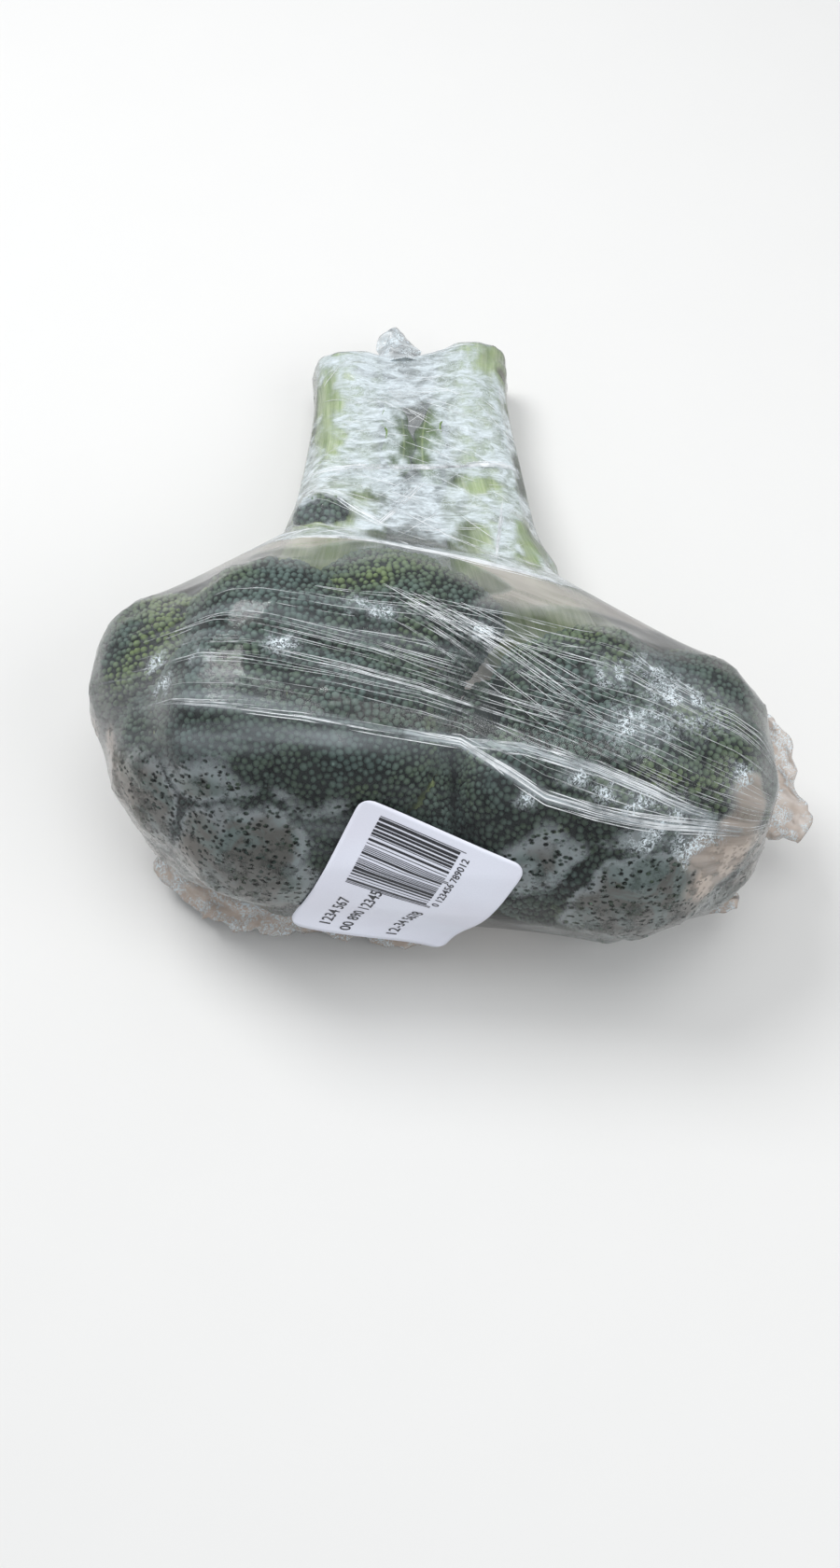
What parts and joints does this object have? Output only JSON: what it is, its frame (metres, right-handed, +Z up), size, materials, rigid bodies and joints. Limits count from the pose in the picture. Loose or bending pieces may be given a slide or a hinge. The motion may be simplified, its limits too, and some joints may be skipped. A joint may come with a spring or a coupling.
{
  "type": "wrapped broccoli heads",
  "caption": "Broccoli heads with thick cut stalks, laid side by side and held together by tight clear film that carries a printed price label.",
  "frame": {"origin": "middle of the footprint, on the plane the pack rests on", "axes": "+Z up, +Y along the stalks towards their cut ends, +X to the right seen from above with the stalks pointing away"},
  "size_m": [0.2202, 0.2466, 0.105],
  "materials": {
    "flower_buds": "dense rough flower buds, dark blue green",
    "stalk_flesh": "satin light green skin, paler where cut",
    "leaf_blade": "satin fresh green",
    "clear_film": "clear glossy stretch film with white creases",
    "label_paper": "smooth white thermal paper"
  },
  "bodies": {
    "root": {"left_floret_01": "flower_buds", "left_floret_02": "flower_buds", "left_floret_03": "flower_buds", "left_floret_04": "flower_buds", "left_floret_05": "flower_buds", "left_floret_06": "flower_buds", "left_floret_07": "flower_buds", "left_floret_08": "flower_buds", "left_floret_09": "flower_buds", "left_floret_10": "flower_buds", "left_floret_11": "flower_buds", "left_floret_12": "flower_buds", "left_floret_13": "flower_buds", "left_leaf": "leaf_blade", "left_side_floret": "flower_buds", "left_stalk": "stalk_flesh", "price_label": "label_paper", "right_floret_01": "flower_buds", "right_floret_02": "flower_buds", "right_floret_03": "flower_buds", "right_floret_04": "flower_buds", "right_floret_05": "flower_buds", "right_floret_06": "flower_buds", "right_floret_07": "flower_buds", "right_floret_08": "flower_buds", "right_floret_09": "flower_buds", "right_floret_10": "flower_buds", "right_floret_11": "flower_buds", "right_floret_12": "flower_buds", "right_leaf": "leaf_blade", "right_stalk": "stalk_flesh", "stretch_film": "clear_film"}
  },
  "joints": []
}
